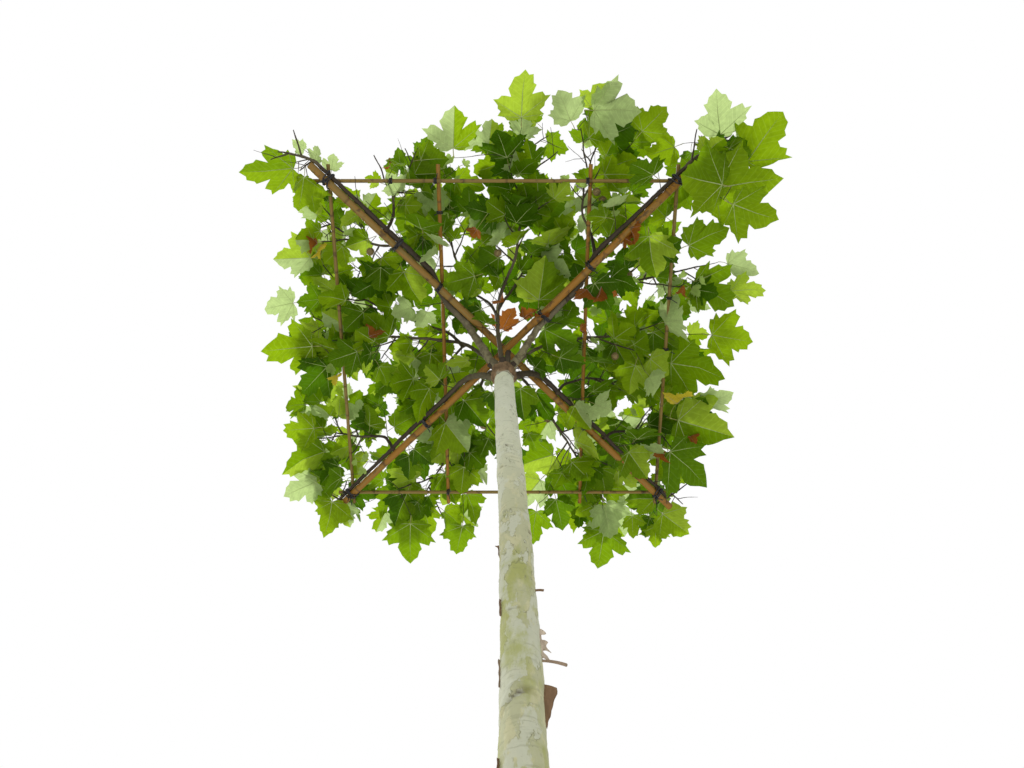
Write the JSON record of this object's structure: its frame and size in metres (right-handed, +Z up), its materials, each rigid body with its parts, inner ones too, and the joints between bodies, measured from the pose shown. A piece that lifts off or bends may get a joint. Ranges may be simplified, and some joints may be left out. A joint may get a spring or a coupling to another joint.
{
  "type": "london plane tree",
  "caption": "Young plane tree trained as a roof: clear trunk, boughs tied out flat along crossed canes, and a thin square layer of lobed leaves with seed balls.",
  "frame": {"origin": "middle of the flat cut under the trunk, at ground level", "axes": "+Z up along the trunk, +X to the right and +Y away from the viewer, as the tree is seen from its front"},
  "size_m": [1.783, 1.7871, 3.2191],
  "materials": {
    "trunk_bark": "pale grey-green bark with cream and yellow-green patches where thin plates have peeled",
    "bough_bark": "brown-grey young bark",
    "cane": "weathered bamboo with raised joints",
    "tie": "matt black tie",
    "foliage": "thin green leaves that let light through, on thin twigs, with brown seed balls"
  },
  "bodies": {
    "root": {"trunk": "trunk_bark", "bough_front_left": "bough_bark", "bough_front_right": "bough_bark", "bough_back_left": "bough_bark", "bough_back_right": "bough_bark", "bough_front": "bough_bark", "bough_left": "bough_bark", "bough_right": "bough_bark", "bough_back_mid_left": "bough_bark", "bough_back_mid_right": "bough_bark", "bough_left_mid": "bough_bark", "bough_left_front": "bough_bark", "bough_left_back": "bough_bark", "bough_right_front": "bough_bark", "bough_right_back": "bough_bark", "bough_front_mid_left": "bough_bark", "bough_front_mid_right": "bough_bark", "bough_inner_front_left": "bough_bark", "bough_inner_front_right": "bough_bark", "bough_inner_back_left": "bough_bark", "bough_inner_back_right": "bough_bark", "cane_diagonal_upper": "cane", "cane_diagonal_lower": "cane", "cane_front": "cane", "cane_back": "cane", "cane_left": "cane", "cane_right": "cane", "cane_inner_left": "cane", "cane_inner_right": "cane", "tie_corner_front_left": "tie", "tie_corner_front_right": "tie", "tie_corner_back_left": "tie", "tie_corner_back_right": "tie", "tie_front_left_inner": "tie", "tie_front_left_outer": "tie", "tie_front_right_inner": "tie", "tie_front_right_outer": "tie", "tie_back_left": "tie", "tie_back_right": "tie", "foliage_corner_front_left": "foliage", "foliage_corner_front_right": "foliage", "foliage_corner_back_left": "foliage", "foliage_corner_back_right": "foliage", "foliage_front": "foliage", "foliage_front_left": "foliage", "foliage_front_right": "foliage", "foliage_left": "foliage", "foliage_left_mid": "foliage", "foliage_left_front": "foliage", "foliage_left_back": "foliage", "foliage_right": "foliage", "foliage_right_front": "foliage", "foliage_right_back": "foliage", "foliage_back_left": "foliage", "foliage_back_right": "foliage", "foliage_inner_front_left": "foliage", "foliage_inner_front_right": "foliage", "foliage_inner_back_left": "foliage", "foliage_inner_back_right": "foliage"}
  },
  "joints": []
}
